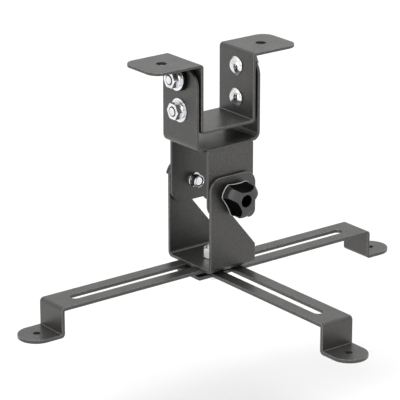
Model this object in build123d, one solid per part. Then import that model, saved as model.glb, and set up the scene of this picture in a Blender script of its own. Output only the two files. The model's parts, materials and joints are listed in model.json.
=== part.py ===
from build123d import *
import math
import os

# A ceiling mount for a small projector: a folded ceiling bracket, a folded drop bracket
# that rolls under it, a tilting bracket hung on two knob studs and three slotted arms.
# Millimetres. The origin is the centre of the ceiling plane, +Z up, the front arm along -Y.

# Shared by the folded brackets and their fasteners
bracket_sheet = 1.8
bolt_size = 6.0
thread_gap = 0.05
pivot_gap = 0.05
slot_gap = 0.3
washer_gap = 0.2
neck_gap = 0.15

# Ceiling bracket
ceiling_width = 41.0
ceiling_depth = 33.0
ceiling_height = 43.2
ceiling_bend = 0.6
flange_length = 33.9
flange_corner = 8.0
ceiling_hole_spacing = 75.0
ceiling_hole = 6.5
pivot_drop = 11.0
lock_spacing = 20.0

# Drop bracket, one cross-shaped blank: two side walls up, two post walls down
spacer_thickness = 1.8
side_wall_depth = 33.0
side_wall_bend = 3.2
side_wall_corner = 10.5
side_wall_gap = 2.2
plate_gap = 9.5
post_width = 34.2
post_depth = 37.8
post_height = 44.0
post_corner = 8.5
post_bend = 0.6
stud_rise = 12.5
roll_limit = 10.0

# Tilt bracket, its ears outside the post
ear_gap = 0.7
ear_width = 34.2
ear_rise = 13.2
ear_corner = 8.0
tilt_bend = 1.5
base_drop = 47.2
hook_width = 6.9
hook_angle = 50.8
hook_turn = 3.0
mouth_bottom = 34.1
mouth_edge = 1.5
nose_drop = 16.2
nose_corner = 4.5
nose_edge = 2.0

# Slotted arms
arm_sheet = 2.2
arm_width = 22.9
arm_reach = 119.3
arm_tail = 18.1
arm_step = 16.6
arm_bend = 0.3
arm_slot = 6.6
slot_end_gap = 14.3
slot_tail_gap = 7.6
foot_length = 10.2
foot_hole = 4.5
tail_corner = 0.8

# Wall bolts, nuts and washers
head_diameter = 11.6
head_height = 3.4
nut_across_flats = 10.0
nut_height = 5.5
nut_flange = 14.8
nut_flange_edge = 0.7
nut_flange_height = 1.3
nut_bevel = 0.6
bolt_show = 0.4
bolt_point = 0.5
spacer_diameter = 12.0
friction_diameter = 15.6
friction_thickness = 2.4

# Threaded inserts, knob studs and knobs
insert_body = 7.6
insert_length = 5.2
insert_rim = 9.2
insert_rim_height = 1.0
insert_flange = 9.6
insert_flange_height = 0.4
insert_chamfer = 0.4
stud_short = 0.6
stud_head = 7.4
stud_head_height = 3.0
knob_lobes = 3
knob_turn = 29.0
knob_height = 9.8
knob_radius = 11.7
knob_half_lobe = 22.4
knob_flute = 8.7
knob_corner = 1.0
knob_rim_height = 0.6
knob_rim_step = 0.3
knob_front_radius = 12.0
knob_front_half_lobe = 15.0
knob_front_flute = 5.5
knob_flat = 6.4
knob_shoulder = 11.0
knob_shoulder_drop = 2.6
knob_side_drop = 5.0
knob_boss = 13.0
knob_boss_height = 3.2
knob_hole = 7.7
knob_hole_depth = 7.2

# Centre clamp
clamp_nut_height = 6.2
clamp_nut_bevel = 0.7
clamp_bolt_show = 1.5
clamp_head_height = 4.0
clamp_washer = 12.5
clamp_washer_thickness = 1.6

# Sizes that follow from those above
bolt_radius = bolt_size / 2
thread_hole = bolt_radius + thread_gap
nut_corners = 2 * nut_across_flats / math.sqrt(3)
wall_inside = ceiling_width / 2 - bracket_sheet
side_inside = ceiling_width / 2 + spacer_thickness
side_outside = side_inside + bracket_sheet
pivot_z = -pivot_drop
lock_z = pivot_z - lock_spacing
plate_top = -ceiling_height - plate_gap
post_bottom = plate_top - post_height
post_inside = post_depth / 2 - bracket_sheet
stud_z = post_bottom + stud_rise
ear_inside = post_depth / 2 + ear_gap
ear_outside = ear_inside + bracket_sheet
base_bottom = stud_z - base_drop
base_top = base_bottom + bracket_sheet
sides = {"left": -1, "right": 1}
ends = {"front": -1, "back": 1}
arm_turns = {"left": 180, "front": -90, "right": 0}


# Helpers

def save(shape, node):
    export_step(shape, f"parts/{node}.step")


def fold_profile(points, sheet, bend):
    # Section of a folded sheet: its upper side follows the points, bends are right angles
    above = [Vector(x, y) for x, y in points]
    steps = [(after - before).normalized() for before, after in zip(above, above[1:])]
    inward = [Vector(step.Y, -step.X) for step in steps]
    below = [above[0] + inward[0] * sheet]
    above_bends = []
    below_bends = []
    for corner, first, second in zip(above[1:], range(len(steps)), range(1, len(steps))):
        below.append(corner + (inward[first] + inward[second]) * sheet)
        turn = steps[first].X * steps[second].Y - steps[first].Y * steps[second].X
        above_bends.append(bend if turn > 0 else bend + sheet)
        below_bends.append(bend + sheet if turn > 0 else bend)
    below.append(above[-1] + inward[-1] * sheet)
    bends = [0, *above_bends, 0, 0, *reversed(below_bends), 0]
    return make_face(FilletPolyline(*above, *reversed(below), radius=bends, close=True))


def across(profile, plane, width):
    # Spreads a section evenly to both sides of its plane
    return extrude(plane * profile, amount=width / 2, both=True)


def edges_at(solid, along, **position):
    # Edges along an axis whose centre has the given X, Y or Z, on either side of zero
    chosen = solid.edges().filter_by(along)
    for name, value in position.items():
        chosen = [e for e in chosen if abs(abs(getattr(e.center(), name)) - abs(value)) < 0.01]
    return chosen


def rod(radius, start, end, plane):
    # Cylinder between two distances along a plane's normal
    return plane * Pos(0, 0, (start + end) / 2) * Cylinder(radius, end - start)


def ring(outer, inner, start, end, plane):
    return rod(outer, start, end, plane) - rod(inner, start - 1, end + 1, plane)


def hexagon(height, bevel):
    # Hexagonal prism on the XY plane, the corners of its upper face turned down
    prism = extrude(RegularPolygon(nut_across_flats / 2, 6, major_radius=False), height)
    round_bar = Pos(0, 0, height / 2) * Cylinder(nut_corners / 2, height)
    return prism & chamfer(round_bar.edges().group_by(Axis.Z)[-1], bevel)


def pointed_shank(radius, start, end, plane):
    # Bolt shank between two distances along a plane's normal, its tip bevelled
    shank = Cylinder(radius, end - start)
    shank = chamfer(shank.edges().group_by(Axis.Z)[-1], bolt_point)
    return plane * Pos(0, 0, (start + end) / 2) * shank


def outward_x(side, z):
    # Plane on a bolt line of the side walls, its normal pointing away from the middle
    return Plane(origin=(0, 0, z), x_dir=(0, side, 0), z_dir=(side, 0, 0))


def outward_y(end):
    # Plane on the knob axis, its normal pointing away from the middle
    return Plane(origin=(0, 0, stud_z), x_dir=(-end, 0, 0), z_dir=(0, end, 0))


# Folded brackets

def ceiling_bracket():
    flange_end = ceiling_width / 2 + flange_length
    floor = bracket_sheet - ceiling_height
    section = [
        (-flange_end, 0),
        (-wall_inside, 0),
        (-wall_inside, floor),
        (wall_inside, floor),
        (wall_inside, 0),
        (flange_end, 0),
    ]
    body = across(fold_profile(section, bracket_sheet, ceiling_bend), Plane.XZ, ceiling_depth)
    body = fillet(edges_at(body, Axis.Z, X=flange_end), flange_corner)
    neck_hole = bolt_size + 2 * neck_gap
    for side in sides.values():
        body -= Pos(side * ceiling_hole_spacing / 2, 0, 0) * Cylinder(ceiling_hole / 2, 4 * bracket_sheet)
        for z in (pivot_z, lock_z):
            body -= Pos(side * wall_inside, 0, z) * Box(4 * bracket_sheet, neck_hole, neck_hole)
    return body


def roll_slot(side):
    # Slot for a lock bolt, curved about the pivot bolt
    path = CenterArc((0, 0), lock_spacing, -90 - roll_limit, 2 * roll_limit)
    face = SlotArc(path, bolt_size + 2 * slot_gap)
    plane = outward_x(side, pivot_z).offset(side_inside - bracket_sheet)
    return extrude(plane * face, amount=3 * bracket_sheet)


def drop_bracket():
    top = -bracket_sheet - side_wall_gap
    up_section = [(-side_inside, top), (-side_inside, plate_top), (side_inside, plate_top), (side_inside, top)]
    walls = across(fold_profile(up_section, bracket_sheet, side_wall_bend), Plane.XZ, side_wall_depth)
    walls = fillet(edges_at(walls, Axis.X, Y=side_wall_depth / 2, Z=top), side_wall_corner)
    half = post_depth / 2
    down_section = [(-half, post_bottom), (-half, plate_top), (half, plate_top), (half, post_bottom)]
    post = across(fold_profile(down_section, bracket_sheet, post_bend), Plane.YZ, post_width)
    post = fillet(edges_at(post, Axis.Y, X=post_width / 2, Z=post_bottom), post_corner)
    body = walls + post
    for side in sides.values():
        body -= rod(bolt_radius + pivot_gap, side_inside - 1, side_outside + 1, outward_x(side, pivot_z))
        body -= roll_slot(side)
    for end in ends.values():
        body -= rod(insert_body / 2, post_inside - 1, half + 1, outward_y(end))
    return body


def hook_slot():
    # Slot of one ear seen from the front, its round seat on the origin, open to the right
    seat = hook_width / 2
    edge = ear_width / 2
    slope = math.tan(math.radians(hook_angle))
    height = hook_width / math.cos(math.radians(hook_angle))
    beyond = edge + 2
    lower_turn = (edge + seat) * slope - mouth_bottom
    upper_turn = (edge - seat) * slope + height - mouth_bottom
    nose_x = edge + (height + nose_drop - mouth_bottom) / slope
    points = [
        (-seat, 0),
        (-seat, lower_turn),
        (beyond, (edge - beyond) * slope - mouth_bottom),
        (beyond, -nose_drop),
        (nose_x, -nose_drop),
        (seat, upper_turn),
        (seat, 0),
    ]
    walls = FilletPolyline(*points, radius=[hook_turn, 0, 0, nose_edge, hook_turn])
    return make_face([*walls.edges(), ThreePointArc((seat, 0), (0, seat), (-seat, 0))])


def tilt_bracket():
    top = stud_z + ear_rise
    edge = ear_width / 2
    section = [(-ear_inside, top), (-ear_inside, base_top), (ear_inside, base_top), (ear_inside, top)]
    body = across(fold_profile(section, bracket_sheet, tilt_bend), Plane.YZ, ear_width)
    body = fillet(edges_at(body, Axis.Y, X=edge, Z=top), ear_corner)
    front = Plane(origin=(0, 0, stud_z), x_dir=(1, 0, 0), z_dir=(0, -1, 0))
    body -= extrude(front * hook_slot(), amount=ear_outside + 1, both=True)
    body = fillet(edges_at(body, Axis.Y, X=edge, Z=stud_z - nose_drop), nose_corner)
    body = fillet(edges_at(body, Axis.Y, X=edge, Z=stud_z - mouth_bottom), mouth_edge)
    body -= Pos(0, 0, base_top) * Cylinder(bolt_radius + washer_gap, 4 * bracket_sheet)
    return body


# Slotted arm with its clamp bolt at the origin, its top at height 0, its foot towards +X

def slotted_arm():
    foot_centre = arm_reach + foot_length
    foot_end = foot_centre + arm_width / 2
    section = [(-arm_tail, 0), (arm_reach, 0), (arm_reach, -arm_step), (foot_end, -arm_step)]
    body = across(fold_profile(section, arm_sheet, arm_bend), Plane.XZ, arm_width)
    outline = Pos((foot_centre - arm_tail) / 2, 0) * Rectangle(foot_centre + arm_tail, arm_width)
    outline += Pos(foot_centre, 0) * Circle(arm_width / 2)
    body &= extrude(outline, amount=2 * arm_step, both=True)
    body = fillet(edges_at(body, Axis.Z, X=arm_tail), tail_corner)
    slot_start = slot_tail_gap - arm_tail
    slot_end = arm_reach - slot_end_gap
    slot = Pos((slot_start + slot_end) / 2, 0) * SlotOverall(slot_end - slot_start, arm_slot)
    body -= extrude(slot, amount=2 * arm_sheet, both=True)
    body -= Pos(foot_centre, 0, -arm_step) * Cylinder(foot_hole / 2, 4 * arm_sheet)
    return body


# Fasteners of the side walls

def domed_head():
    # Cap of a ball on the XY plane
    radius = head_diameter / 2
    ball = (radius ** 2 + head_height ** 2) / (2 * head_height)
    slab = Pos(0, 0, head_height / 2) * Cylinder(radius, head_height)
    return slab & Pos(0, 0, head_height - ball) * Sphere(ball)


def wall_bolt(side, z, tip):
    # Round-headed bolt from inside the ceiling bracket, square where it passes the bracket wall
    plane = outward_x(side, z)
    head = plane * Pos(0, 0, wall_inside) * Rot(180, 0, 0) * domed_head()
    neck = plane * Pos(0, 0, wall_inside + bracket_sheet / 2) * Box(bolt_size, bolt_size, bracket_sheet)
    return head + neck + pointed_shank(bolt_radius, wall_inside, tip, plane)


def flange_nut():
    # Hexagonal nut with a wide flange on the XY plane
    cone_height = nut_flange_height - nut_flange_edge
    cone = Cone(nut_flange / 2, nut_across_flats / 2, cone_height)
    rim = Pos(0, 0, nut_flange_edge / 2) * Cylinder(nut_flange / 2, nut_flange_edge)
    body = hexagon(nut_height, nut_bevel) + rim
    body += Pos(0, 0, nut_flange_edge + cone_height / 2) * cone
    return body - Cylinder(thread_hole, 3 * nut_height)


def wall_fasteners(name, side):
    # Pivot and lock bolt of one side with their nuts, spacers and friction washer
    hole = bolt_radius + washer_gap
    pivot_seat = side_outside + friction_thickness
    for role, z, seat in (("pivot", pivot_z, pivot_seat), ("lock", lock_z, side_outside)):
        plane = outward_x(side, z)
        save(wall_bolt(side, z, seat + nut_height + bolt_show), f"{role}_bolt_{name}")
        save(plane * Pos(0, 0, seat) * flange_nut(), f"{role}_nut_{name}")
        save(ring(spacer_diameter / 2, hole, ceiling_width / 2, side_inside, plane), f"{role}_spacer_{name}")
    plane = outward_x(side, pivot_z)
    save(ring(friction_diameter / 2, hole, side_outside, pivot_seat, plane), f"friction_washer_{name}")


# Threaded insert, stud and star knob of the tilt joint

def threaded_insert(end):
    plane = outward_y(end)
    start = post_inside - insert_length
    outside = post_depth / 2
    body = rod(insert_body / 2, start, outside, plane)
    body = chamfer(body.edges().filter_by(GeomType.CIRCLE).sort_by(SortBy.DISTANCE)[0], insert_chamfer)
    body += rod(insert_rim / 2, post_inside - insert_rim_height, post_inside, plane)
    body += rod(insert_flange / 2, outside, outside + insert_flange_height, plane)
    return body - rod(thread_hole, start - 1, outside + 1, plane)


def knob_stud(end):
    plane = outward_y(end)
    head_end = ear_outside + knob_boss_height + knob_height - knob_hole_depth
    head_start = head_end - stud_head_height
    body = rod(bolt_radius, post_inside - insert_length + stud_short, head_start, plane)
    return body + rod(stud_head / 2, head_start, head_end, plane)


def star(tip, flute, half_lobe):
    # Outline of the knob: round lobe ends joined by hollow flutes
    def at(radius, angle):
        return Vector(radius, 0).rotate(Axis.Z, angle)

    pitch = 360 / knob_lobes
    curves = []
    for lobe in range(knob_lobes):
        middle = knob_turn + pitch * lobe
        end = at(tip, middle + half_lobe)
        curves.append(ThreePointArc(at(tip, middle - half_lobe), at(tip, middle), end))
        following = at(tip, middle + pitch - half_lobe)
        curves.append(ThreePointArc(end, at(flute, middle + pitch / 2), following))
    face = make_face(curves)
    return fillet(face.vertices(), knob_corner)


def knob_crown(front):
    # Round form that slopes the lobes back from a flat front
    side = knob_front_radius
    slope = ThreePointArc((knob_flat, front), (knob_shoulder, front - knob_shoulder_drop),
                          (side, front - knob_side_drop))
    outline = Polyline((side, front - knob_side_drop), (side, 0), (0, 0), (0, front), (knob_flat, front))
    return revolve(Plane.XZ * make_face([slope, *outline.edges()]), Axis.Z)


def star_knob(end):
    plane = outward_y(end)
    rim = ear_outside + knob_boss_height
    base = rim + knob_rim_height
    front = rim + knob_height
    body = loft([
        plane.offset(base) * star(knob_radius - knob_rim_step, knob_flute - knob_rim_step, knob_half_lobe),
        plane.offset(front) * star(knob_front_radius, knob_front_flute, knob_front_half_lobe),
    ])
    body &= plane * knob_crown(front)
    body += extrude(plane.offset(rim) * star(knob_radius, knob_flute, knob_half_lobe), knob_rim_height)
    body += rod(knob_boss / 2, ear_outside, base, plane)
    body -= rod(knob_hole / 2, front - knob_hole_depth - stud_head_height, front + 1, plane)
    return body - rod(thread_hole, ear_outside - 1, base + 1, plane)


# Centre clamp below the tilt bracket

def clamp_bolt(top, bottom):
    # Hexagonal head below the arms, the tip above the nut
    head_top = bottom + clamp_head_height
    head = Pos(0, 0, bottom) * hexagon(clamp_head_height, nut_bevel)
    return head + pointed_shank(bolt_radius, head_top, top, Plane.XY)


def clamp_nut():
    return hexagon(clamp_nut_height, clamp_nut_bevel) - Cylinder(thread_hole, 3 * clamp_nut_height)


os.makedirs("parts", exist_ok=True)
save(ceiling_bracket(), "ceiling_bracket")
save(drop_bracket(), "drop_bracket")
save(tilt_bracket(), "tilt_bracket")
for name, side in sides.items():
    wall_fasteners(name, side)
for name, end in ends.items():
    save(threaded_insert(end), f"threaded_insert_{name}")
    save(knob_stud(end), f"knob_stud_{name}")
    save(star_knob(end), f"star_knob_{name}")
arm = slotted_arm()
for level, name in enumerate(("left", "front", "right")):
    save(Pos(0, 0, base_bottom - level * arm_sheet) * Rot(0, 0, arm_turns[name]) * arm, f"arm_{name}")
washer_top = base_bottom - len(arm_turns) * arm_sheet
washer_bottom = washer_top - clamp_washer_thickness
nut_top = base_top + clamp_nut_height
save(clamp_bolt(nut_top + clamp_bolt_show, washer_bottom - clamp_head_height), "clamp_bolt")
save(ring(clamp_washer / 2, bolt_radius + washer_gap, washer_bottom, washer_top, Plane.XY), "clamp_washer")
save(Pos(0, 0, base_top) * clamp_nut(), "clamp_nut")
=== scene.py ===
import json
import math
import bmesh
import bpy
from mathutils import Matrix, Vector


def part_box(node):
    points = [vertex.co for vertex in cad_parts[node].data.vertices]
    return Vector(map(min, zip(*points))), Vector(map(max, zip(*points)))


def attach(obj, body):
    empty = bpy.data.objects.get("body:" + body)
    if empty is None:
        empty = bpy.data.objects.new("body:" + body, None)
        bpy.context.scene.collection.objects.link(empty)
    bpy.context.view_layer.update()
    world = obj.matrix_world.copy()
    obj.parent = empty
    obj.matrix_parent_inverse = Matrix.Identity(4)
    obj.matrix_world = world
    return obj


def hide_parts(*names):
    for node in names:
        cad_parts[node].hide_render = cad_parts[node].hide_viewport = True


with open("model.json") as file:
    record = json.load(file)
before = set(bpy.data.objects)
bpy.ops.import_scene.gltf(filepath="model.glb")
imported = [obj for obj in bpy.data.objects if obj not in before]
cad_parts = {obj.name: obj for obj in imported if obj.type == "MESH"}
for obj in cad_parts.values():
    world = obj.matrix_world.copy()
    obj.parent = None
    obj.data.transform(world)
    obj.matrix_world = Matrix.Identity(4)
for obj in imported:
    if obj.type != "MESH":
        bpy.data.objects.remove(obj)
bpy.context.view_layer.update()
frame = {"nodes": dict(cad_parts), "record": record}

record = frame["record"]
bodyOf = {node: body for body, nodes in record["behaviour"]["bodies"].items() for node in nodes}
tiltAxis = next(joint["pos_m"] for joint in record["behaviour"]["joints"] if joint["name"] == "tilt")
mm = 0.001
roundSteps = 72  # points round a plain turned piece
hexSteps = 96  # points round a bolt or a hexagon, so that corners fall on points
print("frame loaded,", len(frame["nodes"]), "pieces")


# Mesh helpers

def ringOf(radius, height, steps):  # radius in mm, a number or a function of the angle
    points = []
    for step in range(steps):
        angle = 2 * math.pi * step / steps
        reach = radius(angle) if callable(radius) else radius
        points.append(Vector((reach * math.cos(angle), reach * math.sin(angle), height)) * mm)
    return points


def skin(rings, closed):  # quads from ring to ring, joined end to end or capped
    mesh = bmesh.new()
    rows = [[mesh.verts.new(point) for point in ring] for ring in rings]
    following = rows[1:] + (rows[:1] if closed else [])
    for row, after in zip(rows, following):
        for i in range(len(row)):
            j = (i + 1) % len(row)
            mesh.faces.new((row[i], row[j], after[j], after[i]))
    if not closed:
        mesh.faces.new(list(reversed(rows[0])))
        mesh.faces.new(rows[-1])
    bmesh.ops.recalc_face_normals(mesh, faces=mesh.faces)
    return mesh


def turned(rows, steps, closed=False):  # rows of (radius, height) in mm
    return skin([ringOf(radius, height, steps) for radius, height in rows], closed)


def shadeRows(mesh, steps, spans):  # spans of (first row, end row, number of the finish)
    for index, face in enumerate(mesh.faces):
        for first, end, finish in spans:
            if first <= index // steps < end:
                face.material_index = finish
    return mesh


def hexRadius(flats, limit, clock):  # hexagon with its corners cut to a circle, a flat facing the clock angle
    def radius(angle):
        fromFlat = (angle - math.radians(clock) + math.pi / 6) % (math.pi / 3) - math.pi / 6
        return min(limit, flats / 2 / math.cos(fromFlat))
    return radius


def lengthOf(node, axis):  # the node's box along one axis, in mm
    low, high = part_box(node)
    return (high[axis] - low[axis]) / mm


def standing(node, direction):  # a piece's own +Z runs along direction from the near end of the node's box
    low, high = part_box(node)
    way = Vector(direction)
    reach = sum(abs(way[i]) * (high[i] - low[i]) for i in range(3))
    start = (low + high) / 2 - way * reach / 2
    across = Vector((1, 0, 0)) if abs(way.z) > 0.5 else Vector((-way.y, way.x, 0))
    turn = Matrix((across, way.cross(across), way)).transposed()
    return Matrix.Translation(start) @ turn.to_4x4()


def addPiece(name, mesh, node, finishes, place=None, sharp=32):
    for edge in mesh.edges:
        edge.smooth = edge.calc_face_angle(0) < math.radians(sharp)
    for face in mesh.faces:
        face.smooth = True
    data = bpy.data.meshes.new(name)
    mesh.to_mesh(data)
    mesh.free()
    if place is not None:
        data.transform(place)
    for finish in finishes:
        data.materials.append(finish)
    piece = bpy.data.objects.new(name, data)
    bpy.context.scene.collection.objects.link(piece)
    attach(piece, bodyOf[node])
    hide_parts(node)
    return piece


# Threads

thread = {"pitch": 1.0, "outside": 0.3, "bore": 0.25, "rowsPerTurn": 10}


def threadRadius(outer, depth, height):  # one row of a helical thread
    def radius(angle):
        phase = (height / thread["pitch"] - angle / (2 * math.pi)) % 1
        wave = min(1, max(0, 2.4 * abs(phase - 0.5) - 0.1))
        return outer - depth * wave
    return radius


def threadRows(outer, depth, start, end):  # rows from start to end, both ends left plain
    pitch = thread["pitch"]
    count = max(2, round(abs(end - start) / pitch * thread["rowsPerTurn"]))
    rows = []
    for i in range(count + 1):
        height = start + (end - start) * i / count
        fade = min(1, 3 * abs(height - start) / pitch, 3 * abs(end - height) / pitch)
        rows.append((threadRadius(outer, depth * fade, height), height))
    return rows


def shankThread(radius, start, end):
    return threadRows(radius, thread["outside"], start, end)


def boreThread(hole, start, end):
    return threadRows(hole + thread["bore"], thread["bore"], start, end)


# Finishes

def newFinish(name):
    material = bpy.data.materials.new(name)
    material.use_nodes = True
    return material, material.node_tree, material.node_tree.nodes["Principled BSDF"]


def noiseOf(tree, scale, detail=3.0):
    coords = tree.nodes.new("ShaderNodeTexCoord")
    noise = tree.nodes.new("ShaderNodeTexNoise")
    noise.inputs["Scale"].default_value = scale
    noise.inputs["Detail"].default_value = detail
    tree.links.new(coords.outputs["Object"], noise.inputs["Vector"])
    return noise.outputs["Fac"]


def spreadOf(tree, source, fromLow, fromHigh, low, high):
    spread = tree.nodes.new("ShaderNodeMapRange")
    spread.inputs["From Min"].default_value = fromLow
    spread.inputs["From Max"].default_value = fromHigh
    spread.inputs["To Min"].default_value = low
    spread.inputs["To Max"].default_value = high
    tree.links.new(source, spread.inputs["Value"])
    return spread.outputs["Result"]


def roughOf(tree, scale, low, high):
    return spreadOf(tree, noiseOf(tree, scale), 0.3, 0.7, low, high)


def toneOf(tree, source, dark, light):
    ramp = tree.nodes.new("ShaderNodeValToRGB")
    ramp.color_ramp.elements[0].position = 0.35
    ramp.color_ramp.elements[1].position = 0.65
    ramp.color_ramp.elements[0].color = (*dark, 1)
    ramp.color_ramp.elements[1].color = (*light, 1)
    tree.links.new(source, ramp.inputs["Fac"])
    return ramp.outputs["Color"]


def pointinessToneOf(tree, tone, hollow, edge):  # darker in the hollows, paler on sharp outward edges, following the mesh's pointiness
    shape = tree.nodes.new("ShaderNodeNewGeometry")
    for low, high, start, end in ((0.40, 0.48, hollow, 1.0), (0.52, 0.60, 1.0, edge)):
        share = spreadOf(tree, shape.outputs["Pointiness"], low, high, start, end)
        scaled = tree.nodes.new("ShaderNodeVectorMath")
        scaled.operation = "SCALE"
        tree.links.new(tone, scaled.inputs[0])
        tree.links.new(share, scaled.inputs["Scale"])
        tone = scaled.outputs["Vector"]
    return tone


def bumpOf(tree, source, depth, strength, under=None):
    bump = tree.nodes.new("ShaderNodeBump")
    bump.inputs["Strength"].default_value = strength
    bump.inputs["Distance"].default_value = depth * mm
    tree.links.new(source, bump.inputs["Height"])
    if under is not None:
        tree.links.new(under, bump.inputs["Normal"])
    return bump.outputs["Normal"]


def shade(tone, share):
    return [share * part for part in tone]


powderLook = {
    "tone": (0.020, 0.0195, 0.0186), "fleck": (0.35, 1.7), "fleckScale": 1300, "rough": (0.34, 0.42),
    "roughScale": 90, "gloss": 0.8, "tint": (1.0, 0.985, 0.96), "peel": 0.05, "peelScale": 520,
    "grain": 0.05, "grainScale": 1700, "paintedHighlightTone": 5.0, "holeShadeTone": 0.5,
}
zincLook = {
    "dark": (0.68, 0.68, 0.70), "light": (0.80, 0.80, 0.82), "toneScale": 300, "roughScale": 700,
    "rough": (0.13, 0.19), "satin": (0.46, 0.54), "dull": (0.26, 0.34), "pointinessTone": (0.3, 1.12),
    "grain": 0.001, "grainScale": 2400,
}
plasticLook = {"toneScale": 120, "roughScale": 400, "grainScale": 2200, "pointinessTone": (0.7, 1.5)}
knobLook = {"face": (0.045, 0.047, 0.046), "flute": (0.001, 0.001, 0.0012), "rim": (0.45, 0.45, 0.45)}
nylonLook = {"dark": (0.003, 0.003, 0.003), "light": (0.006, 0.006, 0.006), "rough": (0.55, 0.70)}


def powderCoat(name, lift=1.0):
    finish, tree, shader = newFinish(name)
    look = powderLook
    dark, light = (shade(look["tone"], share * lift) for share in look["fleck"])
    shader.inputs["Specular IOR Level"].default_value = look["gloss"]
    shader.inputs["Specular Tint"].default_value = (*look["tint"], 1)
    tone = toneOf(tree, noiseOf(tree, look["fleckScale"], 4), dark, light)
    tree.links.new(tone, shader.inputs["Base Color"])
    tree.links.new(roughOf(tree, look["roughScale"], *look["rough"]), shader.inputs["Roughness"])
    peel = bumpOf(tree, noiseOf(tree, look["peelScale"]), look["peel"], 0.35)
    grain = bumpOf(tree, noiseOf(tree, look["grainScale"], 2), look["grain"], 0.6, peel)
    tree.links.new(grain, shader.inputs["Normal"])
    return finish


def brightZinc(name, lift=1.0, rough=zincLook["rough"]):
    finish, tree, shader = newFinish(name)
    look = zincLook
    shader.inputs["Metallic"].default_value = 1
    dark = shade(look["dark"], lift)
    light = shade(look["light"], lift)
    tone = toneOf(tree, noiseOf(tree, look["toneScale"]), dark, light)
    tree.links.new(pointinessToneOf(tree, tone, *look["pointinessTone"]), shader.inputs["Base Color"])
    tree.links.new(roughOf(tree, look["roughScale"], *rough), shader.inputs["Roughness"])
    grain = bumpOf(tree, noiseOf(tree, look["grainScale"]), look["grain"], 0.15)
    tree.links.new(grain, shader.inputs["Normal"])
    return finish


def mouldedPlastic(name, dark, light, rough, grain, gloss=0.5):
    finish, tree, shader = newFinish(name)
    look = plasticLook
    shader.inputs["Specular IOR Level"].default_value = gloss
    tone = toneOf(tree, noiseOf(tree, look["toneScale"]), dark, light)
    tree.links.new(pointinessToneOf(tree, tone, *look["pointinessTone"]), shader.inputs["Base Color"])
    tree.links.new(roughOf(tree, look["roughScale"], *rough), shader.inputs["Roughness"])
    tree.links.new(bumpOf(tree, noiseOf(tree, look["grainScale"], 2), grain, 0.4), shader.inputs["Normal"])
    return finish


coat = powderCoat("powderCoat")
# a much paler copy of the coat: painted highlight along softened edges and on the hollow side of folds
coatPaintedHighlight = powderCoat("powderCoatPaintedHighlight", powderLook["paintedHighlightTone"])
# a darker, duller copy of the coat: painted shade on the walls of holes
coatHolePaintedShade = mouldedPlastic("powderCoatHolePaintedShade", shade(powderLook["tone"], powderLook["holeShadeTone"]),
                          powderLook["tone"], (0.6, 0.7), 0.02, 0.25)
zinc = brightZinc("brightZinc")
# a brighter, rougher copy of zinc: painted light on the clamp nut and bolt
satinZincPaintedLight = brightZinc("satinZincPaintedLight", 1.2, zincLook["satin"])
# a darker copy of zinc: painted shade on the insert barrels
dullZincPaintedShade = brightZinc("dullZincPaintedShade", 0.3, zincLook["dull"])
threadShade = brightZinc("threadShade", 0.05)
nylon = mouldedPlastic("blackNylon", nylonLook["dark"], nylonLook["light"], nylonLook["rough"], 0.015, 0.06)
knobFace = mouldedPlastic("knobGrain", shade(knobLook["face"], 0.85), knobLook["face"], (0.42, 0.55), 0.03)
# a near-black copy of the knob plastic: painted shade in the flutes, the hole and on the boss
knobFlutePaintedShade = mouldedPlastic("knobSmoothPaintedShade", knobLook["flute"], shade(knobLook["flute"], 2),
                           (0.40, 0.50), 0.005, 0.02)
# a darker copy of the knob plastic: painted shade on the lower lobe flanks
knobFlankPaintedShade = mouldedPlastic("knobFlankPaintedShade", shade(knobLook["face"], 0.25), shade(knobLook["face"], 0.35),
                           (0.42, 0.55), 0.02, 0.2)
# a pale grey band on the black knob: painted highlight on the base rim
knobRimPaintedHighlight = mouldedPlastic("knobRimPaintedHighlight", knobLook["rim"], knobLook["rim"], (0.3, 0.4), 0.005)
print("finishes ready")


# Folded sheets: the solids' own faces with softened sheared edges

sheetEdges = {
    "soften": 0.28, "rounds": 3, "foldLine": 0.24, "foldStrip": 0.6, "sharp": 40, "holeReach": 9,
    "holeFaces": 8,
    "sheets": ["ceiling_bracket", "drop_bracket", "tilt_bracket", "arm_left", "arm_front", "arm_right"],
}


def innerFold(face):  # a narrow strip along the hollow side of a fold, which gets the painted highlight
    lengths = sorted(edge.calc_length() for edge in face.edges)
    if len(lengths) != 4 or lengths[1] > sheetEdges["foldStrip"] * mm:
        return False
    long = [edge for edge in face.edges if edge.calc_length() >= lengths[2]]
    bends = [edge.calc_face_angle_signed(0) for edge in long]
    if not all(-math.radians(sheetEdges["sharp"]) < bend < -math.radians(3) for bend in bends):
        return False
    radius = 2 * lengths[0] / abs(sum(bends))
    lean = math.asin(min(1, sorted(abs(part) for part in face.normal)[1]))
    return math.pi / 4 - lean < sheetEdges["foldLine"] * mm / radius


def holeWalls(mesh):  # faces joined smoothly into small rings
    left = set(mesh.faces)
    walls = []
    while left:
        patch = [left.pop()]
        for face in patch:
            for edge in face.edges:
                if edge.calc_face_angle(0) < math.radians(sheetEdges["sharp"]):
                    for near in edge.link_faces:
                        if near in left:
                            left.discard(near)
                            patch.append(near)
        points = [vert.co for face in patch for vert in face.verts]
        reach = max(max(p[i] for p in points) - min(p[i] for p in points) for i in range(3))
        if reach < sheetEdges["holeReach"] * mm and len(patch) > sheetEdges["holeFaces"]:
            walls += patch
    return walls


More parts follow.
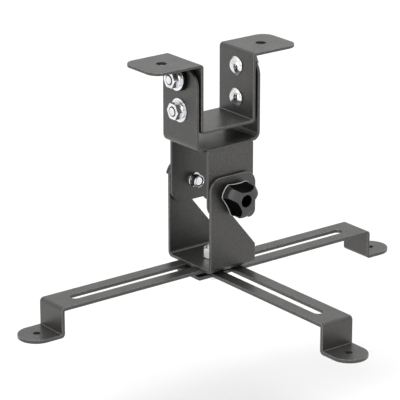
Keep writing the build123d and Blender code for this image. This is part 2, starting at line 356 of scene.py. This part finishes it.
def softenedSheet(node):
    mesh = bmesh.new()
    mesh.from_mesh(frame["nodes"][node].data)
    bmesh.ops.remove_doubles(mesh, verts=mesh.verts, dist=1e-6)
    bmesh.ops.dissolve_limit(mesh, angle_limit=math.radians(0.3), verts=mesh.verts, edges=mesh.edges)
    for face in mesh.faces:
        # painted highlight on the hollow side of each fold
        face.material_index = 1 if innerFold(face) else 0
    walls = holeWalls(mesh)
    # painted shade on the walls of holes
    for face in walls:
        face.material_index = 2
    corners = [edge for edge in mesh.edges if edge.calc_face_angle(0) > math.radians(sheetEdges["sharp"])
               and not any(face.material_index == 2 for face in edge.link_faces)]
    print(node, len(walls), "hole faces,", len(corners), "sharp edges")
    softened = bmesh.ops.bevel(mesh, geom=corners, offset=sheetEdges["soften"] * mm, offset_type="OFFSET",
                               segments=sheetEdges["rounds"], profile=0.5, affect="EDGES", clamp_overlap=True)
    for face in softened["faces"]:
        face.material_index = 1 if face.normal.z > -0.1 else 0  # painted highlight on the softened edges, left off those that face down, which catch no light
    return mesh


for node in sheetEdges["sheets"]:
    sheet = addPiece(node + "Sheet", softenedSheet(node), node, [coat, coatPaintedHighlight, coatHolePaintedShade])
    flatten = sheet.modifiers.new("flatFacesStayFlat", "WEIGHTED_NORMAL")
    flatten.keep_sharp = True
    flatten.weight = 90
print("sheets done")


# Flange nuts on the walls

flangeNut = {"flats": 9.5, "height": 5.5, "flange": 7.4, "rim": 0.7, "skirtSlope": 2.1, "hole": 3.05,
             "lip": 0.2, "bevel": 0.25, "bevelSlope": 1.3, "cornerCut": 0.04, "faceInset": 0.5, "clock": 30.0}


def flangeNutMesh():
    size = flangeNut
    corner = size["flats"] / math.sqrt(3)
    hole = size["hole"]
    flange = size["flange"]
    rim = size["rim"]
    top = size["height"]
    rows = [(flange - 0.25, 0), (flange - 0.07, 0.1), (flange, 0.28), (flange, rim - 0.15),
            (flange - 0.08, rim + 0.05)]
    levels = [0.9, 1.05, 1.2, 1.35, 1.5, 1.65, 1.8, 2.0, 2.3, 2.8, 3.6]  # closest at the skirt's end
    levels += [top - 1.1 + 0.11 * i for i in range(11)]
    hexagon = hexRadius(size["flats"], corner - size["cornerCut"], size["clock"])
    for height in levels:
        skirt = flange - 0.15 - (height - rim) * size["skirtSlope"]
        cap = corner - max(0, height - (top - size["bevel"])) * size["bevelSlope"]

        def radius(angle, skirt=skirt, cap=cap):
            return min(cap, max(hexagon(angle), skirt))
        rows.append((radius, height))
    faceLimit = corner - size["bevel"] * size["bevelSlope"] - 0.2
    face = hexRadius(size["flats"] - size["faceInset"], faceLimit, size["clock"])
    rows += [(face, top), (hole + size["lip"], top)]
    lip = len(rows) - 1
    rows += [(hole, top - 0.15)] + boreThread(hole, top - 0.15, 0.5) + [(hole + 0.5, 0)]
    return shadeRows(turned(rows, hexSteps, closed=True), hexSteps, [(lip, len(rows), 1)])


for side, way in (("left", -1), ("right", 1)):
    for role in ("pivot", "lock"):
        node = f"{role}_nut_{side}"
        addPiece(node + "Turned", flangeNutMesh(), node, [zinc, threadShade], standing(node, (way, 0, 0)))
print("flange nuts done")


# Round-headed wall bolts with a square neck

wallBolt = {"head": 5.8, "dome": 3.4, "domeRows": 14, "neck": 3.0, "neckCorner": 3.85, "neckLength": 1.8,
            "shank": 2.98, "tip": 2.2}


def wallBoltMesh(length):
    size = wallBolt
    head = size["head"]
    dome = size["dome"]
    shank = size["shank"]
    ball = (head ** 2 + dome ** 2) / (2 * dome)
    rows = []
    for i in range(1, size["domeRows"]):
        angle = math.asin(head / ball) * i / size["domeRows"]
        rows.append((ball * math.sin(angle), ball - ball * math.cos(angle)))
    rim = len(rows)
    rows += [(head - 0.03, dome - 0.28), (head, dome - 0.15), (head - 0.08, dome)]

    def square(angle):
        return min(size["neckCorner"], size["neck"] / max(abs(math.cos(angle)), abs(math.sin(angle))))
    neckEnd = dome + size["neckLength"]
    rows += [(square, dome), (square, neckEnd - 0.2), (shank, neckEnd)]
    plain = len(rows)
    rows += shankThread(shank, neckEnd + 0.3, length - 0.5)
    rows += [(shank - 0.12, length - 0.5), (shank - 0.55, length - 0.05), (size["tip"], length)]
    # painted shade on the dome's rim band and along the thread
    return shadeRows(turned(rows, hexSteps), hexSteps, [(rim, rim + 2, 1), (plain, len(rows) - 2, 1)])


for side, way in (("left", -1), ("right", 1)):
    for role in ("pivot", "lock"):
        node = f"{role}_bolt_{side}"
        addPiece(node + "Turned", wallBoltMesh(lengthOf(node, 0)), node, [zinc, threadShade],
                 standing(node, (way, 0, 0)))
print("wall bolts done")


# Washers

washer = {  # radius and thickness of each kind
    "hole": 3.2, "edge": 0.25, "clamp": (6.25, 1.6), "clear": 0.03,
    "wall": {"pivot_spacer": (6.0, 1.8), "lock_spacer": (6.0, 1.8), "friction_washer": (7.8, 2.4)},
}


def washerMesh(outer, thickness):
    edge = washer["edge"]
    hole = washer["hole"]
    rows = [(outer - edge, 0), (outer - 0.3 * edge, 0.3 * edge), (outer, edge), (outer, thickness - edge),
            (outer - 0.3 * edge, thickness - 0.3 * edge), (outer - edge, thickness),
            (hole + edge, thickness), (hole, thickness - edge), (hole, edge), (hole + edge, 0)]
    return turned(rows, roundSteps, closed=True)


for side, way in (("left", -1), ("right", 1)):
    for role, (outer, thickness) in washer["wall"].items():
        node = f"{role}_{side}"
        addPiece(node + "Turned", washerMesh(outer, thickness), node, [nylon], standing(node, (way, 0, 0)))
outer, thickness = washer["clamp"]
eased = Matrix.Translation((0, 0, washer["clear"] * mm))  # just clear of the sliding arm
addPiece("clampWasherTurned", washerMesh(outer, thickness - 2 * washer["clear"]), "clamp_washer", [zinc],
         standing("clamp_washer", (0, 0, 1)) @ eased)
print("washers done")


# Clamp nut and bolt

clamp = {"flats": 9.5, "nutHeight": 6.2, "bevel": 0.7, "bevelSlope": 1.6, "cornerCut": 0.1, "hole": 3.05,
         "headHeight": 4.0, "shank": 2.98, "plainShank": 3.0, "tip": 2.2, "clock": 22.5}


def hexRows(height, bevelTop):  # the lower end is always chamfered
    corner = clamp["flats"] / math.sqrt(3)
    hexagon = hexRadius(clamp["flats"], corner - clamp["cornerCut"], clamp["clock"])
    rows = []
    levels = [0.07 * i for i in range(11)] + [0.25 * height, 0.5 * height, 0.75 * height]
    levels += [height - 0.7 + 0.07 * i for i in range(11)]
    for level in levels:
        cap = min(corner, corner - (clamp["bevel"] - level) * clamp["bevelSlope"])
        if bevelTop:
            cap = min(cap, corner - (level - (height - clamp["bevel"])) * clamp["bevelSlope"])

        def radius(angle, cap=cap):
            return min(cap, hexagon(angle))
        rows.append((radius, level))
    return rows


def clampNutMesh():
    height = clamp["nutHeight"]
    hole = clamp["hole"]
    rows = hexRows(height, True) + [(hole + 0.6, height), (hole, height - 0.55)]
    lip = len(rows) - 2
    rows += boreThread(hole, height - 0.55, 0.55) + [(hole + 0.6, 0)]
    return shadeRows(turned(rows, hexSteps, closed=True), hexSteps, [(lip, len(rows), 1)])


def clampBoltMesh(length):
    head = clamp["headHeight"]
    shank = clamp["shank"]
    rows = hexRows(head, False)
    rows += [(shank + 0.5, head), (shank, head + 0.3), (shank, head + clamp["plainShank"])]
    rows += shankThread(shank, head + clamp["plainShank"], length - 0.5)
    rows += [(shank - 0.5, length - 0.06), (clamp["tip"], length)]
    return turned(rows, hexSteps)


addPiece("clampNutTurned", clampNutMesh(), "clamp_nut", [satinZincPaintedLight, threadShade],
         standing("clamp_nut", (0, 0, 1)))
addPiece("clampBoltTurned", clampBoltMesh(lengthOf("clamp_bolt", 2)), "clamp_bolt", [satinZincPaintedLight],
         standing("clamp_bolt", (0, 0, 1)))
print("clamp done")


# Threaded inserts and knob studs

insert = {"flange": 4.8, "flangeHeight": 0.4, "body": 3.8, "bulge": 4.6, "bulgeHeight": 1.0, "sheet": 1.8,
          "length": 5.2, "hole": 3.05}


def insertMesh():  # from the inner end to the flange
    size = insert
    hole = size["hole"]
    body = size["body"]
    bulge = size["bulge"]
    flange = size["flange"]
    inner = size["length"]
    bulgeStart = inner - size["bulgeHeight"]
    wallEnd = inner + size["sheet"]
    end = wallEnd + size["flangeHeight"]
    rows = [(hole + 0.3, 0), (body - 0.35, 0), (body, 0.35), (body, bulgeStart - 0.15)]
    barrel = len(rows) - 2
    rows += [(bulge - 0.25, bulgeStart), (bulge, bulgeStart + 0.25), (bulge, inner - 0.2),
             (bulge - 0.1, inner), (body, inner), (body, wallEnd), (flange, wallEnd), (flange, end - 0.1),
             (flange - 0.12, end), (hole + 0.3, end), (hole, end - 0.3)]
    bore = len(rows) - 2
    rows += boreThread(hole, end - 0.3, 0.3)
    # painted shade on the barrel, thread shade in the bore
    return shadeRows(turned(rows, roundSteps, closed=True), roundSteps,
                     [(barrel, barrel + 1, 2), (bore, len(rows) - 1, 1)])


stud = {"radius": 2.98, "tip": 2.0, "head": 3.68, "headHeight": 3.0}


def studMesh(length):  # from the inner tip to the moulded-in head
    size = stud
    radius = size["radius"]
    head = size["head"]
    headStart = length - size["headHeight"]
    rows = [(size["tip"], 0), (radius - 0.55, 0.04), (radius, 0.5)]
    rows += shankThread(radius, 0.5, headStart - 0.3)
    rows += [(radius, headStart), (head - 0.15, headStart), (head, headStart + 0.15), (head, length - 0.2),
             (head - 0.2, length), (1.6, length), (1.4, length - 1.2)]
    return turned(rows, roundSteps)


for end, way in (("front", -1), ("back", 1)):
    node = f"threaded_insert_{end}"
    addPiece(node + "Turned", insertMesh(), node, [zinc, threadShade, dullZincPaintedShade], standing(node, (0, way, 0)))
    node = f"knob_stud_{end}"
    addPiece(node + "Turned", studMesh(lengthOf(node, 1)), node, [zinc], standing(node, (0, way, 0)))
print("inserts and studs done")


# Star knobs: a round boss, a thin base rim, three lobes with scooped flutes, a deep round hole

starKnob = {
    "lobes": 3, "clock": 29.0, "height": 13.0, "bossHeight": 3.2, "boss": 6.5, "rim": 0.6, "rimStep": 0.3,
    "tip": 11.7, "flute": 8.7, "halfLobe": 22.4, "frontTip": 12.0, "frontFlute": 5.5, "frontHalfLobe": 15.0,
    "flat": 6.4, "shoulder": 11.0, "shoulderDrop": 2.6, "side": 12.0, "sideDrop": 5.0, "sideRows": 44,
    "hole": 3.85, "holeDepth": 7.2, "bore": 3.05, "pocket": 3.75, "pocketDepth": 3.0, "clear": 0.03,
    "steps": 360,
}


def fromLobe(angle):  # turn from the middle of the nearest lobe
    pitch = 2 * math.pi / starKnob["lobes"]
    return abs((angle - math.radians(starKnob["clock"]) + pitch / 2) % pitch - pitch / 2)


def lobedRadius(tip, flute, halfLobe):  # rounded arcs at the lobes, hollow arcs between them
    pitch = 2 * math.pi / starKnob["lobes"]
    gap = pitch / 2 - math.radians(halfLobe)
    centre = (tip ** 2 - flute ** 2) / (2 * (tip * math.cos(gap) - flute))
    bend = abs(centre - flute)

    def plain(angle):
        fromFlute = pitch / 2 - fromLobe(angle)
        if fromFlute >= gap:
            return tip
        return centre * math.cos(fromFlute) - math.sqrt(bend ** 2 - (centre * math.sin(fromFlute)) ** 2)

    def radius(angle):
        blend = [math.radians(step) for step in (-4, -2, 0, 2, 4)]
        return sum(plain(angle + step) for step in blend) / len(blend)
    return radius


def crownRadius(drop):  # reach of the sloping front at a depth below it, an arc through three points
    size = starKnob
    across = [size["flat"], size["shoulder"], size["side"]]
    down = [0, size["shoulderDrop"], size["sideDrop"]]
    a, b, c = (Vector((x, -y)) for x, y in zip(across, down))
    turn = 2 * (a.x * (b.y - c.y) + b.x * (c.y - a.y) + c.x * (a.y - b.y))
    squares = (a.length_squared, b.length_squared, c.length_squared)
    middle = Vector((
        (squares[0] * (b.y - c.y) + squares[1] * (c.y - a.y) + squares[2] * (a.y - b.y)) / turn,
        (squares[0] * (c.x - b.x) + squares[1] * (a.x - c.x) + squares[2] * (b.x - a.x)) / turn,
    ))
    if drop >= size["sideDrop"]:
        return size["side"] + 1
    return middle.x + math.sqrt(max(0, (a - middle).length_squared - (-drop - middle.y) ** 2))


def starKnobMesh():
    size = starKnob
    base = lobedRadius(size["tip"], size["flute"], size["halfLobe"])
    front = lobedRadius(size["frontTip"], size["frontFlute"], size["frontHalfLobe"])
    boss = size["bossHeight"]
    hole = size["hole"]
    bore = size["bore"]
    top = size["height"]
    start = boss + size["rim"]

    def between(share, inset, crown=99):  # outline between base and front, cut to the crown
        def radius(angle):
            lofted = base(angle) + (front(angle) - base(angle)) * share - inset
            soft = 0.25  # blends the flute into the crown
            reach = min(lofted, crown)
            if abs(lofted - crown) < soft:
                reach -= (soft - abs(lofted - crown)) ** 2 / (4 * soft)
            return reach
        return radius

    def faceMiddle(angle):  # halfway between the hole's lip and the edge of the face
        return 0.5 * (min(front(angle), size["flat"]) - 0.3 + hole + 0.3)
    clear = size["clear"]
    rows = [(bore + 0.2, clear), (size["boss"] - 0.3, clear), (size["boss"], 0.3), (size["boss"], boss)]
    rows += [(between(0, 0.6), boss), (between(0, 0.1), boss + 0.04), (between(0, 0), boss + 0.15)]
    rimStart = len(rows) - 1
    rows += [(between(0, 0), start - 0.1), (between(0, 0.05), start), (between(0, size["rimStep"]), start)]
    rimEnd = len(rows) - 1
    for i in range(1, size["sideRows"] + 1):
        share = (i / size["sideRows"]) ** 0.75
        drop = (top - start) * (1 - share)
        rows.append((between(share, size["rimStep"] * (1 - share), crownRadius(drop)), top - drop))
    crownEnd = len(rows) - 1
    rows += [(between(1, 0.3, size["flat"] - 0.2), top), (faceMiddle, top),
             (hole + 0.3, top), (hole + 0.08, top - 0.08), (hole, top - 0.3)]
    faceEnd = len(rows) - 1
    floor = top - size["holeDepth"]
    pocketEnd = floor - size["pocketDepth"]
    rows += [(hole, floor), (size["pocket"], floor - 0.02), (size["pocket"], pocketEnd), (bore, pocketEnd),
             (bore, 0.2)]
    steps = size["steps"]
    mesh = turned(rows, steps, closed=True)
    for index, face in enumerate(mesh.faces):
        row = index // steps
        angle = 2 * math.pi * (index % steps + 0.5) / steps
        if rimStart <= row < rimEnd:
            # painted highlight on the base rim
            face.material_index = 2
        elif rimEnd <= row < crownEnd:
            height = face.calc_center_median().z / mm
            share = (height - start) / (top - start)
            lofted = base(angle) + (front(angle) - base(angle)) * share
            half = size["halfLobe"] + (size["frontHalfLobe"] - size["halfLobe"]) * share
            onLobe = fromLobe(angle) < math.radians(half) or crownRadius(top - height) < lofted
            # the lower part of each lobe's flank gets painted shade
            flank = 3 if height < top - 0.9 * size["sideDrop"] else 0
            # off the lobes, the flutes get painted shade
            face.material_index = flank if onLobe else 1
        else:
            # the front face keeps its own tone; the boss and the hole get painted shade
            face.material_index = 0 if crownEnd <= row < faceEnd else 1
    return mesh


for end, way in (("front", -1), ("back", 1)):
    node = f"star_knob_{end}"
    low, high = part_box(node)
    start = Vector((0, min(abs(low.y), abs(high.y)) * way, tiltAxis[2]))
    turn = Matrix((Vector((-way, 0, 0)), Vector((0, 0, 1)), Vector((0, way, 0)))).transposed()
    addPiece(node + "Moulded", starKnobMesh(), node, [knobFace, knobFlutePaintedShade, knobRimPaintedHighlight, knobFlankPaintedShade],
             Matrix.Translation(start) @ turn.to_4x4(), sharp=50)
print("knobs done")


# Floor, light and camera

studio = {
    "floorHeight": -0.235, "floorReach": 3.0, "floorTone": 0.86, "glow": (0.08, 0.48), "glowFrom": 0.2,
    "skyWhite": 1.0, "skyLight": 0.42, "lampAim": (0, 0, -0.08),
    "lamps": [
        ("overLamp", (-0.3, -0.3, 3.0), 3.2, 88.0),
        ("leftLamp", (-1.7, -0.5, 0.5), 1.0, 9.0),
        ("frontLamp", (0.5, -1.8, 0.5), 1.0, 5.0),
    ],
}
photoCamera = {"place": (-0.8794, -1.1327, 0.4088), "look": (-0.00884, 0.0, -0.0910), "lens": 224.61}


def seenDirectly(tree):  # 1 for what the camera sees straight or through metal and glass
    rays = tree.nodes.new("ShaderNodeLightPath")
    share = rays.outputs["Is Camera Ray"]
    for extra in ("Is Glossy Ray", "Is Transmission Ray"):
        either = tree.nodes.new("ShaderNodeMath")
        either.operation = "MAXIMUM"
        tree.links.new(share, either.inputs[0])
        tree.links.new(rays.outputs[extra], either.inputs[1])
        share = either.outputs["Value"]
    return share


def aimed(item, place, target):
    item.location = place
    item.rotation_mode = "QUATERNION"
    item.rotation_quaternion = (Vector(target) - Vector(place)).to_track_quat("-Z", "Y")


def addFloor():
    mesh = bmesh.new()
    bmesh.ops.create_grid(mesh, x_segments=2, y_segments=2, size=studio["floorReach"])
    data = bpy.data.meshes.new("floor")
    mesh.to_mesh(data)
    mesh.free()
    floor = bpy.data.objects.new("floor", data)
    bpy.context.scene.collection.objects.link(floor)
    floor.location.z = studio["floorHeight"]
    finish, tree, shader = newFinish("paleFloor")
    shader.inputs["Base Color"].default_value = (*[studio["floorTone"]] * 3, 1)
    shader.inputs["Roughness"].default_value = 0.9
    shader.inputs["Specular IOR Level"].default_value = 0.1
    shader.inputs["Emission Color"].default_value = (1, 1, 1, 1)
    coords = tree.nodes.new("ShaderNodeTexCoord")
    distance = tree.nodes.new("ShaderNodeVectorMath")
    distance.operation = "LENGTH"
    tree.links.new(coords.outputs["Object"], distance.inputs[0])
    reach = (studio["glowFrom"], studio["floorReach"])
    glow = spreadOf(tree, distance.outputs["Value"], *reach, *studio["glow"])
    shown = tree.nodes.new("ShaderNodeMath")  # more glow far out, where less lamp light falls
    shown.operation = "MULTIPLY"
    tree.links.new(seenDirectly(tree), shown.inputs[0])
    tree.links.new(glow, shown.inputs[1])
    tree.links.new(shown.outputs["Value"], shader.inputs["Emission Strength"])
    side = tree.nodes.new("ShaderNodeNewGeometry")
    clear = tree.nodes.new("ShaderNodeBsdfTransparent")
    oneSided = tree.nodes.new("ShaderNodeMixShader")  # seen through from below
    tree.links.new(side.outputs["Backfacing"], oneSided.inputs["Fac"])
    tree.links.new(shader.outputs["BSDF"], oneSided.inputs[1])
    tree.links.new(clear.outputs["BSDF"], oneSided.inputs[2])
    tree.links.new(oneSided.outputs["Shader"], tree.nodes["Material Output"].inputs["Surface"])
    data.materials.append(finish)


def addWorld():
    world = bpy.data.worlds.new("studioWorld")
    bpy.context.scene.world = world
    world.use_nodes = True
    tree = world.node_tree
    sky = tree.nodes["Background"]
    sky.inputs["Color"].default_value = (1, 1, 1, 1)
    strength = spreadOf(tree, seenDirectly(tree), 0, 1, studio["skyLight"], studio["skyWhite"])
    tree.links.new(strength, sky.inputs["Strength"])


def addLamp(name, place, size, power):
    light = bpy.data.lights.new(name, "AREA")
    light.shape = "DISK"
    light.size = size
    light.energy = power
    lamp = bpy.data.objects.new(name, light)
    bpy.context.scene.collection.objects.link(lamp)
    aimed(lamp, place, studio["lampAim"])
    lamp.visible_camera = False
    lamp.visible_glossy = name != "frontLamp"


def addCamera():
    view = bpy.data.cameras.new("photoView")
    view.lens = photoCamera["lens"]
    view.sensor_width = 36
    view.clip_start = 0.05
    view.clip_end = 60
    camera = bpy.data.objects.new("photoView", view)
    bpy.context.scene.collection.objects.link(camera)
    aimed(camera, photoCamera["place"], photoCamera["look"])
    bpy.context.scene.camera = camera


addFloor()
addWorld()
for lamp in studio["lamps"]:
    addLamp(*lamp)
addCamera()
bpy.context.scene.view_settings.view_transform = "Standard"
print("studio done")
